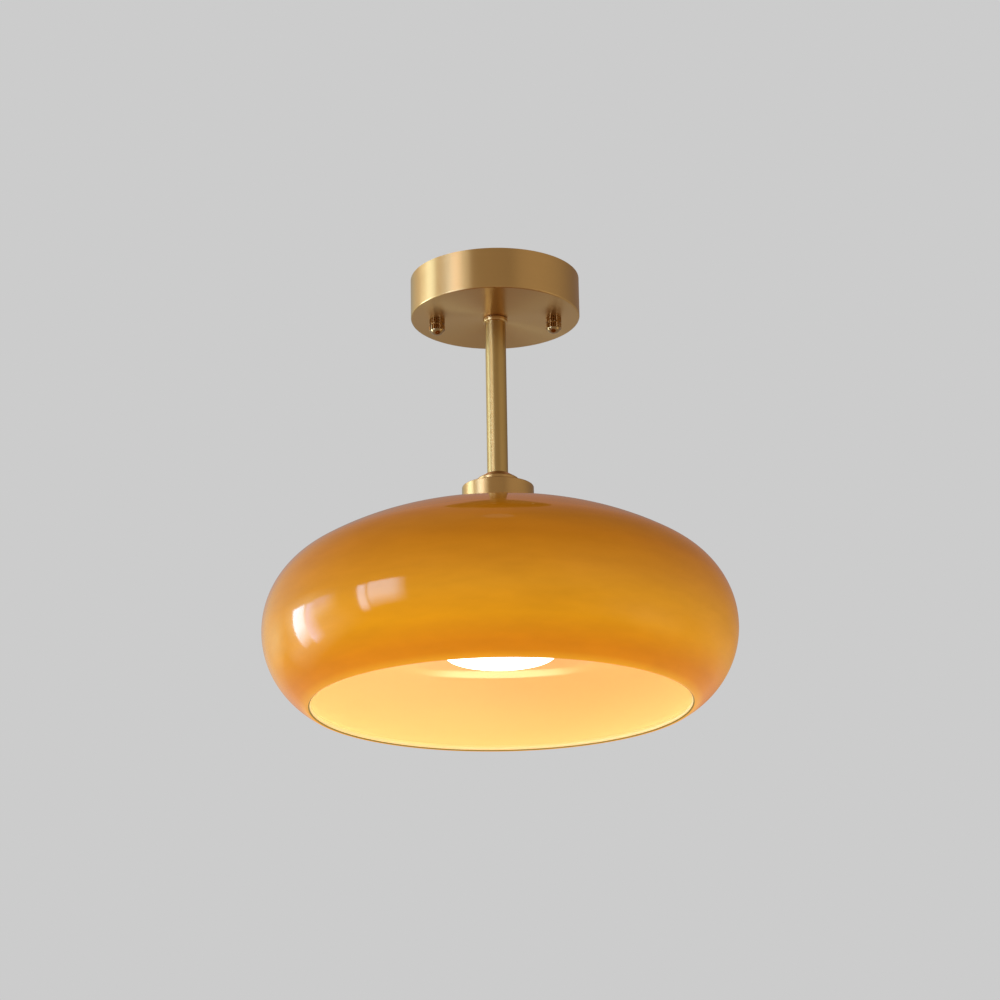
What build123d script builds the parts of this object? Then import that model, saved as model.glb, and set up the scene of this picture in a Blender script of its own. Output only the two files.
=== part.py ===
from build123d import *
import math
import os

# A semi-flush ceiling light: an open glass shade on a short brass stem under a round canopy.
# Sizes are in millimetres. The origin is the middle of the ceiling plane, +Z is up, and the
# two canopy nuts lie along X.

# Fits
THREAD_CLEARANCE = 0.05      # radial, between screwed pieces that stay put
RUNNING_CLEARANCE = 0.1      # radial, between a nut and its stud
LOOSE_CLEARANCE = 0.4        # radial, where a piece passes freely
SEAT_GAP = 0.05              # between flat faces that turn on each other

# Canopy
CANOPY_DIAMETER = 110.0
CANOPY_HEIGHT = 27.0
CANOPY_WALL = 1.2
CANOPY_EDGE_RADIUS = 0.9

# Ceiling bracket: a steel strap whose wings step down from the ceiling
BRACKET_LENGTH = 98.0
BRACKET_WIDTH = 18.0
BRACKET_THICKNESS = 2.0
BRACKET_FLAT_LENGTH = 60.0
BRACKET_STEP = 4.0
CEILING_SLOT_SPACING = 34.0
CEILING_SLOT_LENGTH = 10.0
CEILING_SLOT_WIDTH = 5.0
CABLE_HOLE_RADIUS = 7.0
EARTH_SCREW_X = 26.4
EARTH_SCREW_RADIUS = 1.75
EARTH_SCREW_HEAD_RADIUS = 3.2
EARTH_SCREW_HEAD_HEIGHT = 2.2

# Studs, lock nuts and the knurled canopy nuts
STUD_SPACING = 76.0
STUD_RADIUS = 2.0
STUD_HEAD_RADIUS = 3.8
STUD_HEAD_HEIGHT = 2.4
LOCK_NUT_FLATS = 7.0
LOCK_NUT_HEIGHT = 3.2
CAP_NUT_RADIUS = 5.1
CAP_NUT_BARREL = 7.4
CAP_NUT_DOME = 3.2
CAP_NUT_BORE_DEPTH = 8.4
CAP_NUT_GROOVES = 20
CAP_NUT_GROOVE_DEPTH = 0.6
CAP_NUT_WAIST_DEPTH = 0.9
CAP_NUT_WAIST_HEIGHT = 1.0
CAP_NUT_DOME_INSET = 0.7
STUD_END_ROOM = 0.9

# Stem, its hollow threaded nipples, and the collar and neck at its ends
STEM_DIAMETER = 13.4
STEM_LENGTH = 103.8
COLLAR_DIAMETER = 16.0
COLLAR_HEIGHT = 3.2
COLLAR_EDGE_RADIUS = 1.1
NIPPLE_RADIUS = 5.0
NIPPLE_BORE_RADIUS = 3.6
NIPPLE_GRIP = 12.0
NIPPLE_ABOVE_NUT = 0.6
NECK_TOP_RADIUS = 7.6
NECK_RADIUS = 13.4
NECK_CONE_HEIGHT = 3.6
NECK_BARREL_HEIGHT = 5.2
NECK_EDGE_RADIUS = 1.0

# Nut, toothed washer and earth tag that hold the stem to the canopy
STEM_NUT_FLATS = 14.0
STEM_NUT_HEIGHT = 4.0
WASHER_RADIUS = 7.6
WASHER_THICKNESS = 0.8
WASHER_TEETH = 12
TAG_RADIUS = 8.4
TAG_THICKNESS = 0.8
TAG_BARREL_Y = 9.9
TAG_BARREL_HEIGHT = 6.0
TAG_BARREL_WALL = 0.7

# Terminal block on the canopy's floor
PAD_THICKNESS = 1.0
POLE_COUNT = 3
POLE_PITCH = 9.0
BLOCK_FRONT_Y = 15.0
BLOCK_DEPTH = 18.0
BLOCK_HEIGHT = 17.0
BLOCK_END_WALL = 0.8
BLOCK_HOLE_HEIGHT = 10.5
TERMINAL_TUBE_RADIUS = 2.8
TERMINAL_TUBE_BORE = 1.6
TERMINAL_TUBE_RECESS = 1.0
TERMINAL_SCREW_RADIUS = 1.5
TERMINAL_SCREW_INSET = 4.5
TERMINAL_SCREW_DEPTH = 0.5

# Wires
WIRE_RADIUS = 1.2
WIRE_OFFSET = 2.0            # from the stem's axis
WIRE_INTO_BLOCK = 7.0
WIRE_FAN_Y = 9.5             # where the wires turn into line with their poles
WIRE_BEND = 4.0
WIRE_BEND_SHARE = 0.4        # of a slanting run, taken up by the bend at its end

# Holder cap over the shade, and the shade's gaskets
HOLDER_CAP_DIAMETER = 46.0
HOLDER_CAP_HEIGHT = 19.8
HOLDER_CAP_WALL = 1.2
HOLDER_CAP_EDGE_RADIUS = 0.5
GASKET_THICKNESS = 1.2
GASKET_INSET = 0.2

# Glass shade
SHADE_DIAMETER = 300.0
SHADE_CROWN_HEIGHT = 75.0    # from the widest ring up to the flat land round the hole
SHADE_SHOULDER_RADIUS = 54.4
SHADE_LIP_INSET = 27.8       # the lip stands in this far from the widest ring
SHADE_LIP_DROP = 48.3        # and this far below it
SHADE_LAND_MARGIN = 1.0
SHADE_HOLE_CLEARANCE = 1.0
GLASS_WALL = 4.0

# Lampholder: a screwed dome and skirt round a ceramic block with the contacts
HOLDER_RADIUS = 18.5
DOME_LENGTH = 13.2
DOME_TOP_WALL = 4.0
DOME_WALL = 3.8
DOME_EDGE_RADIUS = 1.4
SKIRT_LENGTH = 30.0
SKIRT_WALL = 3.5
CERAMIC_RADIUS = 16.2
CERAMIC_HEIGHT = 7.0
SOCKET_LENGTH = 22.0
SOCKET_RADIUS = 14.5
SOCKET_FLANGE = 0.5
SOCKET_FLANGE_HOLE = 7.5
CONTACT_RADIUS = 4.0
CONTACT_HEIGHT = 1.0
CONTACT_PIN_RADIUS = 1.5
TERMINAL_X = 9.8
TERMINAL_LENGTH = 5.0
TERMINAL_WIDTH = 6.0
TERMINAL_HEIGHT = 5.6
TERMINAL_WIRE_HEIGHT = 2.8
TERMINAL_STRAP_THICKNESS = 0.7
TERMINAL_PIN_RADIUS = 1.2
HOLDER_SCREW_RADIUS = 1.3
HOLDER_SCREW_LENGTH = 1.6
HOLDER_SCREW_PROUD = 0.5

# Shade ring under the glass
SHADE_RING_RADIUS = 28.0
SHADE_RING_HEIGHT = 7.0
SHADE_RING_CLEARANCE = 0.3
SHADE_RING_FLUTES = 24
SHADE_RING_FLUTE_DEPTH = 1.0

# Screw thread of the bulb
BULB_PITCH = 3.629
BULB_CORE_RADIUS = 12.3
BULB_RIDGE_RADIUS = 0.95
BULB_RIDGE_TURNS = 4
THREAD_GAP = 0.35

# Bulb
BULB_CONTACT_RADIUS = 4.6
BULB_CONTACT_HEIGHT = 1.5
BULB_SEAT_GAP = 0.3
BULB_INSULATOR_TOP_RADIUS = 5.6
BULB_INSULATOR_HEIGHT = 4.5
BULB_INSULATOR_DROP = 1.0
BULB_CAP_LENGTH = 20.0
BULB_CAP_WALL = 1.1
BULB_RIDGE_START = 3.5       # from the cap's lower edge to the ridge's lower end
BULB_NECK_RADIUS = 14.0
BULB_NECK_LENGTH = 5.0
BULB_SPIGOT_LENGTH = 9.0
BULB_RIM_STEP = 0.4          # from the diffuser's side out to the body's rim
BULB_CONE_LENGTH = 40.0
BULB_RIM_LENGTH = 1.0
BULB_SLEEVE_LENGTH = 8.5     # inside the diffuser's side
BULB_WALL = 1.6
BULB_SHELF_HEIGHT = 1.5
BULB_SHELF_WIDTH = 3.4
BULB_SHELF_UP = 4.2          # the shelf's underside, above the body's lower edge
DIFFUSER_HEIGHT = 17.9
DIFFUSER_WALL = 1.5
DIFFUSER_RADIUS = 37.0
DIFFUSER_EDGE_RADIUS = 6.0
LED_BOARD_THICKNESS = 1.2
LED_COUNT = 16
LED_EDGE_GAP = 11.8          # from the body's bore in to the middle of the chips
LED_SIZE = 3.0
LED_HEIGHT = 0.7
DRIVER_WIDTH = 20.0
DRIVER_HEIGHT = 30.0
DRIVER_THICKNESS = 1.2
COIL_SIZE = 8.0
COIL_HEIGHT = 10.0
CAPACITOR_RADIUS = 3.5
CAPACITOR_HEIGHT = 9.0

# Levels from the ceiling down to the shade
canopy_radius = CANOPY_DIAMETER / 2
canopy_bottom = -CANOPY_HEIGHT
canopy_floor = canopy_bottom + CANOPY_WALL
collar_bottom = canopy_bottom - COLLAR_HEIGHT
stem_bottom = collar_bottom - STEM_LENGTH
neck_bottom = stem_bottom - NECK_CONE_HEIGHT - NECK_BARREL_HEIGHT
holder_cap_radius = HOLDER_CAP_DIAMETER / 2
holder_cap_bottom = neck_bottom - HOLDER_CAP_HEIGHT
dome_top = neck_bottom - HOLDER_CAP_WALL
dome_bottom = dome_top - DOME_LENGTH
dome_ceiling = dome_top - DOME_TOP_WALL
skirt_bottom = dome_bottom - SKIRT_LENGTH
glass_top = holder_cap_bottom - GASKET_THICKNESS
glass_under = glass_top - GLASS_WALL
ring_top = glass_under - GASKET_THICKNESS
ring_bottom = ring_top - SHADE_RING_HEIGHT
ceramic_bottom = dome_bottom - CERAMIC_HEIGHT

# Levels inside the canopy
tag_top = canopy_floor + TAG_THICKNESS
washer_top = tag_top + WASHER_THICKNESS
stem_nut_top = washer_top + STEM_NUT_HEIGHT
nipple_top = stem_nut_top + NIPPLE_ABOVE_NUT
block_bottom = canopy_floor + PAD_THICKNESS
block_top = block_bottom + BLOCK_HEIGHT
block_middle_y = BLOCK_FRONT_Y + BLOCK_DEPTH / 2
block_length = POLE_COUNT * POLE_PITCH + 2 * BLOCK_END_WALL
wire_level = block_bottom + BLOCK_HOLE_HEIGHT
wing_top = -BRACKET_STEP
wing_bottom = wing_top - BRACKET_THICKNESS
cap_nut_top = canopy_bottom - SEAT_GAP
stud_end = cap_nut_top - CAP_NUT_BORE_DEPTH + STUD_END_ROOM

# Levels of the bulb
contact_bottom = ceramic_bottom - CONTACT_HEIGHT
bulb_top = contact_bottom - BULB_SEAT_GAP
bulb_contact_bottom = bulb_top - BULB_CONTACT_HEIGHT
insulator_top = bulb_contact_bottom - SEAT_GAP
bulb_cap_top = insulator_top - BULB_INSULATOR_HEIGHT
bulb_cap_bottom = bulb_cap_top - BULB_CAP_LENGTH
bulb_cone_top = bulb_cap_bottom - BULB_NECK_LENGTH
bulb_cone_bottom = bulb_cone_top - BULB_CONE_LENGTH
bulb_rim_bottom = bulb_cone_bottom - BULB_RIM_LENGTH
bulb_body_bottom = bulb_rim_bottom - BULB_SLEEVE_LENGTH
diffuser_bottom = bulb_rim_bottom - DIFFUSER_HEIGHT
shelf_bottom = bulb_body_bottom + BULB_SHELF_UP
led_board_bottom = shelf_bottom - LED_BOARD_THICKNESS
bulb_rim_radius = DIFFUSER_RADIUS + BULB_RIM_STEP
bulb_sleeve_radius = DIFFUSER_RADIUS - DIFFUSER_WALL - THREAD_CLEARANCE
bulb_bore_radius = bulb_sleeve_radius - BULB_WALL
led_circle_radius = bulb_bore_radius - LED_EDGE_GAP

# Radii that several pieces share
stem_bore_radius = NIPPLE_RADIUS + THREAD_CLEARANCE
shade_hole_radius = HOLDER_RADIUS + SHADE_HOLE_CLEARANCE
shade_land_radius = holder_cap_radius + SHADE_LAND_MARGIN
bulb_cap_bore = BULB_CORE_RADIUS - BULB_CAP_WALL
socket_bore_radius = BULB_CORE_RADIUS + BULB_RIDGE_RADIUS + THREAD_GAP

os.makedirs("parts", exist_ok=True)


def save(piece, name):
    """Label a finished piece and write its STEP file."""
    piece.part.label = name
    export_step(piece.part, f"parts/{name}.step")


def ring(outer_radius, inner_radius, bottom, height):
    """A plain ring round Z."""
    with BuildPart() as piece:
        with BuildSketch(Plane.XY.offset(bottom)):
            Circle(outer_radius)
            Circle(inner_radius, mode=Mode.SUBTRACT)
        extrude(amount=height)
    return piece


def disc(radius, bottom, height):
    """A plain disc round Z."""
    with BuildPart() as piece:
        with BuildSketch(Plane.XY.offset(bottom)):
            Circle(radius)
        extrude(amount=height)
    return piece


def spun_cup(radius, wall, end_wall, closed_level, open_level, edge_radius, hole_radius):
    """A round cup about Z, closed but for a middle hole at one level and open at the other."""
    depth = open_level - closed_level
    wall_rise = math.copysign(end_wall, depth)
    with BuildPart() as piece:
        with BuildSketch(Plane.XY.offset(closed_level)):
            Circle(radius)
        extrude(amount=depth)
        closed_face = piece.faces().sort_by(lambda face: abs(face.center().Z - closed_level))[0]
        fillet(closed_face.edges(), edge_radius)
        with BuildSketch(Plane.XY.offset(closed_level + wall_rise)):
            Circle(radius - wall)
        extrude(amount=depth, mode=Mode.SUBTRACT)
        with BuildSketch(Plane.XY.offset(closed_level)):
            Circle(hole_radius)
        extrude(amount=wall_rise, mode=Mode.SUBTRACT)
    return piece


def hex_nut(across_flats, bore_radius, bottom, height, centres):
    """Hexagon nuts of one size at each of the given places."""
    with BuildPart() as piece:
        with BuildSketch(Plane.XY.offset(bottom)):
            with Locations(*centres):
                RegularPolygon(across_flats / 2, 6, major_radius=False)
                Circle(bore_radius, mode=Mode.SUBTRACT)
        extrude(amount=height)
    return piece


def wire(points, radii):
    """An insulated wire along straight runs joined by tangent arcs."""
    with BuildPart() as piece:
        with BuildLine() as route:
            FilletPolyline(*points, radius=radii)
        with BuildSketch(Plane(origin=points[0], z_dir=route.line % 0)):
            Circle(WIRE_RADIUS)
        sweep()
    length = sum(edge.length for edge in route.edges())
    filled = piece.part.volume / (math.pi * WIRE_RADIUS**2 * length)
    print(f"wire length {length:.1f} mm, volume over section times length {filled:.4f}")
    return piece


stud_places = [(-STUD_SPACING / 2, 0), (STUD_SPACING / 2, 0)]
pole_offsets = [(pole - (POLE_COUNT - 1) / 2) * POLE_PITCH for pole in range(POLE_COUNT)]

# Ceiling bracket
bracket_half = BRACKET_LENGTH / 2
flat_half = BRACKET_FLAT_LENGTH / 2
step_end = flat_half + BRACKET_STEP
strap_line = [
    (-bracket_half, wing_top),
    (-step_end, wing_top),
    (-flat_half, 0),
    (flat_half, 0),
    (step_end, wing_top),
    (bracket_half, wing_top),
]
strap_under = [(x, z - BRACKET_THICKNESS) for x, z in reversed(strap_line)]
with BuildPart() as ceiling_bracket:
    with BuildSketch(Plane.XZ):
        with BuildLine():
            Polyline(*strap_line, *strap_under, close=True)
        make_face()
    extrude(amount=BRACKET_WIDTH / 2, both=True)
    with BuildSketch(Plane.XY.offset(-BRACKET_THICKNESS)):
        Circle(CABLE_HOLE_RADIUS)
        with Locations((-CEILING_SLOT_SPACING / 2, 0), (CEILING_SLOT_SPACING / 2, 0)):
            SlotOverall(CEILING_SLOT_LENGTH, CEILING_SLOT_WIDTH)
        with Locations((EARTH_SCREW_X, 0)):
            Circle(EARTH_SCREW_RADIUS + THREAD_CLEARANCE)
    extrude(amount=BRACKET_THICKNESS, mode=Mode.SUBTRACT)
    with BuildSketch(Plane.XY.offset(wing_bottom)):
        with Locations(*stud_places):
            Circle(STUD_RADIUS + THREAD_CLEARANCE)
    extrude(amount=BRACKET_THICKNESS, mode=Mode.SUBTRACT)
save(ceiling_bracket, "ceiling_bracket")

with BuildPart() as bracket_studs:
    with BuildSketch(Plane.XY.offset(wing_top)):
        with Locations(*stud_places):
            Circle(STUD_HEAD_RADIUS)
    extrude(amount=STUD_HEAD_HEIGHT)
    with BuildSketch(Plane.XY.offset(stud_end)):
        with Locations(*stud_places):
            Circle(STUD_RADIUS)
    extrude(amount=wing_top - stud_end)
save(bracket_studs, "bracket_studs")

stud_lock_nuts = hex_nut(
    LOCK_NUT_FLATS,
    STUD_RADIUS + THREAD_CLEARANCE,
    wing_bottom - LOCK_NUT_HEIGHT,
    LOCK_NUT_HEIGHT,
    stud_places,
)
save(stud_lock_nuts, "stud_lock_nuts")

with BuildPart() as earth_screw:
    with BuildSketch(Plane.XY.offset(-BRACKET_THICKNESS)):
        with Locations((EARTH_SCREW_X, 0)):
            Circle(EARTH_SCREW_HEAD_RADIUS)
    extrude(amount=-EARTH_SCREW_HEAD_HEIGHT)
    with BuildSketch(Plane.XY.offset(-BRACKET_THICKNESS)):
        with Locations((EARTH_SCREW_X, 0)):
            Circle(EARTH_SCREW_RADIUS)
    extrude(amount=BRACKET_THICKNESS)
save(earth_screw, "earth_screw")

# Canopy with its stud holes, and the knurled nuts below it
canopy_cup = spun_cup(
    canopy_radius,
    CANOPY_WALL,
    CANOPY_WALL,
    canopy_bottom,
    0,
    CANOPY_EDGE_RADIUS,
    NIPPLE_RADIUS + RUNNING_CLEARANCE,
)
with BuildPart() as canopy:
    add(canopy_cup.part)
    with BuildSketch(Plane.XY.offset(canopy_bottom)):
        with Locations(*stud_places):
            Circle(STUD_RADIUS + LOOSE_CLEARANCE)
    extrude(amount=CANOPY_WALL, mode=Mode.SUBTRACT)
save(canopy, "canopy")

groove_side = CAP_NUT_GROOVE_DEPTH * math.sqrt(2)
dome_radius = CAP_NUT_RADIUS - CAP_NUT_DOME_INSET
sphere_radius = (dome_radius**2 + CAP_NUT_DOME**2) / (2 * CAP_NUT_DOME)
dome_rise = math.degrees(math.asin((CAP_NUT_DOME - sphere_radius) / sphere_radius))
for (nut_x, nut_y), nut_name in zip(stud_places, ["cap_nut_left", "cap_nut_right"]):
    nut_base = Plane((nut_x, nut_y, cap_nut_top), z_dir=(0, 0, -1))
    with BuildPart() as cap_nut:
        with BuildSketch(nut_base):
            Circle(CAP_NUT_RADIUS)
            with PolarLocations(CAP_NUT_RADIUS, CAP_NUT_GROOVES):
                Rectangle(groove_side, groove_side, 45, mode=Mode.SUBTRACT)
        extrude(amount=CAP_NUT_BARREL)
        with BuildSketch(nut_base.offset((CAP_NUT_BARREL - CAP_NUT_WAIST_HEIGHT) / 2)):
            Circle(CAP_NUT_RADIUS)
            Circle(CAP_NUT_RADIUS - CAP_NUT_WAIST_DEPTH, mode=Mode.SUBTRACT)
        extrude(amount=CAP_NUT_WAIST_HEIGHT, mode=Mode.SUBTRACT)
        with BuildSketch(Plane.XZ.shift_origin((nut_x, nut_y, cap_nut_top - CAP_NUT_BARREL))):
            with BuildLine():
                CenterArc((0, sphere_radius - CAP_NUT_DOME), sphere_radius, 270, 90 + dome_rise)
                Polyline((0, -CAP_NUT_DOME), (0, 0), (dome_radius, 0))
            make_face()
        revolve(axis=Axis((nut_x, nut_y, 0), (0, 0, 1)))
        with BuildSketch(nut_base):
            Circle(STUD_RADIUS + RUNNING_CLEARANCE)
        extrude(amount=CAP_NUT_BORE_DEPTH, mode=Mode.SUBTRACT)
    save(cap_nut, nut_name)

# Nut, washer and earth tag on the canopy's floor
with BuildPart() as earth_tag:
    with BuildSketch(Plane.XY.offset(canopy_floor)):
        Circle(TAG_RADIUS)
        with Locations((0, TAG_BARREL_Y)):
            Circle(WIRE_RADIUS + TAG_BARREL_WALL + RUNNING_CLEARANCE)
        Circle(stem_bore_radius, mode=Mode.SUBTRACT)
    extrude(amount=TAG_THICKNESS)
    with BuildSketch(Plane.XY.offset(tag_top)):
        with Locations((0, TAG_BARREL_Y)):
            Circle(WIRE_RADIUS + TAG_BARREL_WALL + RUNNING_CLEARANCE)
            Circle(WIRE_RADIUS + RUNNING_CLEARANCE, mode=Mode.SUBTRACT)
    extrude(amount=TAG_BARREL_HEIGHT)
save(earth_tag, "earth_tag")

with BuildPart() as stem_lock_washer:
    with BuildSketch(Plane.XY.offset(tag_top)):
        Circle(WASHER_RADIUS)
        with PolarLocations(WASHER_RADIUS, WASHER_TEETH):
            Circle(WASHER_THICKNESS, mode=Mode.SUBTRACT)
        Circle(stem_bore_radius, mode=Mode.SUBTRACT)
    extrude(amount=WASHER_THICKNESS)
save(stem_lock_washer, "stem_lock_washer")

stem_lock_nut = hex_nut(STEM_NUT_FLATS, stem_bore_radius, washer_top, STEM_NUT_HEIGHT, [(0, 0)])
save(stem_lock_nut, "stem_lock_nut")

# Stem with its nipples, collar and neck
upper_nipple_bottom = collar_bottom - NIPPLE_GRIP
upper_nipple = ring(
    NIPPLE_RADIUS, NIPPLE_BORE_RADIUS, upper_nipple_bottom, nipple_top - upper_nipple_bottom
)
save(upper_nipple, "upper_nipple")

lower_nipple_length = stem_bottom + NIPPLE_GRIP - dome_ceiling
lower_nipple = ring(NIPPLE_RADIUS, NIPPLE_BORE_RADIUS, dome_ceiling, lower_nipple_length)
save(lower_nipple, "lower_nipple")

stem = ring(STEM_DIAMETER / 2, stem_bore_radius, stem_bottom, STEM_LENGTH)
save(stem, "stem")

with BuildPart() as stem_collar:
    with BuildSketch(Plane.XY.offset(collar_bottom)):
        Circle(COLLAR_DIAMETER / 2)
    extrude(amount=COLLAR_HEIGHT)
    fillet(stem_collar.edges(), COLLAR_EDGE_RADIUS)
    with BuildSketch(Plane.XY.offset(collar_bottom)):
        Circle(stem_bore_radius)
    extrude(amount=COLLAR_HEIGHT, mode=Mode.SUBTRACT)
save(stem_collar, "stem_collar")

with BuildPart() as stem_neck:
    with BuildSketch(Plane.XZ):
        with BuildLine():
            Polyline(
                (stem_bore_radius, stem_bottom),
                (NECK_TOP_RADIUS, stem_bottom),
                (NECK_RADIUS, stem_bottom - NECK_CONE_HEIGHT),
                (NECK_RADIUS, neck_bottom),
                (stem_bore_radius, neck_bottom),
                close=True,
            )
        neck_face = make_face()
        fillet(neck_face.vertices().sort_by(Axis.Y)[2:3], NECK_EDGE_RADIUS)
    revolve(axis=Axis.Z)
save(stem_neck, "stem_neck")

# Terminal block, its tubes and screws
with BuildPart() as terminal_pad:
    with BuildSketch(Plane.XY.offset(canopy_floor)):
        with Locations((0, block_middle_y)):
            Rectangle(block_length, BLOCK_DEPTH)
    extrude(amount=PAD_THICKNESS)
save(terminal_pad, "terminal_pad")

screw_rows = [BLOCK_FRONT_Y + TERMINAL_SCREW_INSET, BLOCK_FRONT_Y + BLOCK_DEPTH - TERMINAL_SCREW_INSET]
screw_places = [(x, y) for x in pole_offsets for y in screw_rows]
tube_places = [(x, wire_level) for x in pole_offsets]
tube_top = wire_level + TERMINAL_TUBE_RADIUS
with BuildPart() as terminal_block:
    with BuildSketch(Plane.XY.offset(block_bottom)):
        with Locations((0, block_middle_y)):
            Rectangle(block_length, BLOCK_DEPTH)
    extrude(amount=BLOCK_HEIGHT)
    with BuildSketch(Plane.XZ.offset(-BLOCK_FRONT_Y)):
        with Locations(*tube_places):
            Circle(TERMINAL_TUBE_RADIUS + THREAD_CLEARANCE)
    extrude(amount=-BLOCK_DEPTH, mode=Mode.SUBTRACT)
    with BuildSketch(Plane.XY.offset(wire_level)):
        with Locations(*screw_places):
            Circle(TERMINAL_SCREW_RADIUS + RUNNING_CLEARANCE)
    extrude(amount=block_top - wire_level, mode=Mode.SUBTRACT)
save(terminal_block, "terminal_block")

with BuildPart() as terminal_tubes:
    with BuildSketch(Plane.XZ.offset(-BLOCK_FRONT_Y - TERMINAL_TUBE_RECESS)):
        with Locations(*tube_places):
            Circle(TERMINAL_TUBE_RADIUS)
            Circle(TERMINAL_TUBE_BORE, mode=Mode.SUBTRACT)
    extrude(amount=-(BLOCK_DEPTH - 2 * TERMINAL_TUBE_RECESS))
save(terminal_tubes, "terminal_tubes")

with BuildPart() as terminal_screws:
    with BuildSketch(Plane.XY.offset(tube_top + RUNNING_CLEARANCE)):
        with Locations(*screw_places):
            Circle(TERMINAL_SCREW_RADIUS)
    extrude(amount=block_top - TERMINAL_SCREW_DEPTH - tube_top - RUNNING_CLEARANCE)
save(terminal_screws, "terminal_screws")

# Holder cap and gaskets
holder_cap = spun_cup(
    holder_cap_radius,
    HOLDER_CAP_WALL,
    HOLDER_CAP_WALL,
    neck_bottom,
    holder_cap_bottom,
    HOLDER_CAP_EDGE_RADIUS,
    NIPPLE_RADIUS + RUNNING_CLEARANCE,
)
save(holder_cap, "holder_cap")

gasket_bore = shade_hole_radius + GASKET_INSET
upper_gasket = ring(holder_cap_radius - GASKET_INSET, gasket_bore, glass_top, GASKET_THICKNESS)
save(upper_gasket, "upper_gasket")

lower_gasket = ring(shade_land_radius, gasket_bore, ring_top, GASKET_THICKNESS)
save(lower_gasket, "lower_gasket")

# Glass shade: a flat land, a crown arc, a shoulder arc and a lower arc, with a round lip
shade_radius = SHADE_DIAMETER / 2
widest_level = glass_top - SHADE_CROWN_HEIGHT
shoulder_centre = (shade_radius - SHADE_SHOULDER_RADIUS, widest_level)
crown_reach = shoulder_centre[0] - shade_land_radius
crown_radius = (crown_reach**2 + SHADE_CROWN_HEIGHT**2 - SHADE_SHOULDER_RADIUS**2) / (
    2 * (SHADE_CROWN_HEIGHT - SHADE_SHOULDER_RADIUS)
)
crown_centre = (shade_land_radius, glass_top - crown_radius)
tangent_angle = math.degrees(math.atan2(widest_level - crown_centre[1], crown_reach))
lower_radius = (SHADE_LIP_INSET**2 + SHADE_LIP_DROP**2) / (2 * SHADE_LIP_INSET)
lower_centre = (shade_radius - lower_radius, widest_level)
lip_angle = math.degrees(math.atan2(SHADE_LIP_DROP, lower_radius - SHADE_LIP_INSET))
wall_middle = lower_radius - GLASS_WALL / 2
lip_centre = (
    lower_centre[0] + wall_middle * math.cos(math.radians(lip_angle)),
    lower_centre[1] - wall_middle * math.sin(math.radians(lip_angle)),
)
with BuildPart() as glass_shade:
    with BuildSketch(Plane.XZ):
        with BuildLine():
            for inward in (0, GLASS_WALL):
                Line((shade_hole_radius, glass_top - inward), (shade_land_radius, glass_top - inward))
                CenterArc(crown_centre, crown_radius - inward, tangent_angle, 90 - tangent_angle)
                CenterArc(shoulder_centre, SHADE_SHOULDER_RADIUS - inward, 0, tangent_angle)
                CenterArc(lower_centre, lower_radius - inward, 0, -lip_angle)
            CenterArc(lip_centre, GLASS_WALL / 2, -lip_angle, -180)
            Line((shade_hole_radius, glass_top), (shade_hole_radius, glass_under))
        make_face()
    revolve(axis=Axis.Z)
save(glass_shade, "glass_shade")

# Shade ring
with BuildPart() as shade_ring:
    with BuildSketch(Plane.XY.offset(ring_bottom)):
        Circle(SHADE_RING_RADIUS)
        with PolarLocations(SHADE_RING_RADIUS, SHADE_RING_FLUTES):
            Circle(SHADE_RING_FLUTE_DEPTH, mode=Mode.SUBTRACT)
        Circle(HOLDER_RADIUS + SHADE_RING_CLEARANCE, mode=Mode.SUBTRACT)
    extrude(amount=SHADE_RING_HEIGHT - SEAT_GAP)
save(shade_ring, "shade_ring")

# Lampholder
lampholder_dome = spun_cup(
    HOLDER_RADIUS,
    DOME_WALL,
    DOME_TOP_WALL,
    dome_top,
    dome_bottom,
    DOME_EDGE_RADIUS,
    stem_bore_radius,
)
save(lampholder_dome, "lampholder_dome")

with BuildPart() as lampholder_skirt:
    with BuildSketch(Plane.XY.offset(skirt_bottom)):
        Circle(HOLDER_RADIUS)
        Circle(HOLDER_RADIUS - SKIRT_WALL, mode=Mode.SUBTRACT)
    extrude(amount=SKIRT_LENGTH)
    with BuildSketch(Plane.XY.offset(ceramic_bottom)):
        Circle(CERAMIC_RADIUS + RUNNING_CLEARANCE)
    extrude(amount=CERAMIC_HEIGHT, mode=Mode.SUBTRACT)
save(lampholder_skirt, "lampholder_skirt")

neutral_pin_place = (TERMINAL_X, 0)
with BuildPart() as ceramic_block:
    with BuildSketch(Plane.XY.offset(ceramic_bottom)):
        Circle(CERAMIC_RADIUS)
        Circle(CONTACT_PIN_RADIUS + THREAD_CLEARANCE, mode=Mode.SUBTRACT)
        with Locations(neutral_pin_place):
            Circle(TERMINAL_PIN_RADIUS + THREAD_CLEARANCE, mode=Mode.SUBTRACT)
    extrude(amount=CERAMIC_HEIGHT)
save(ceramic_block, "ceramic_block")

with BuildPart() as centre_contact:
    with BuildSketch(Plane.XY.offset(contact_bottom)):
        Circle(CONTACT_RADIUS)
    extrude(amount=CONTACT_HEIGHT)
    with BuildSketch(Plane.XY.offset(ceramic_bottom)):
        Circle(CONTACT_PIN_RADIUS)
    extrude(amount=CERAMIC_HEIGHT)
save(centre_contact, "centre_contact")

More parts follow.
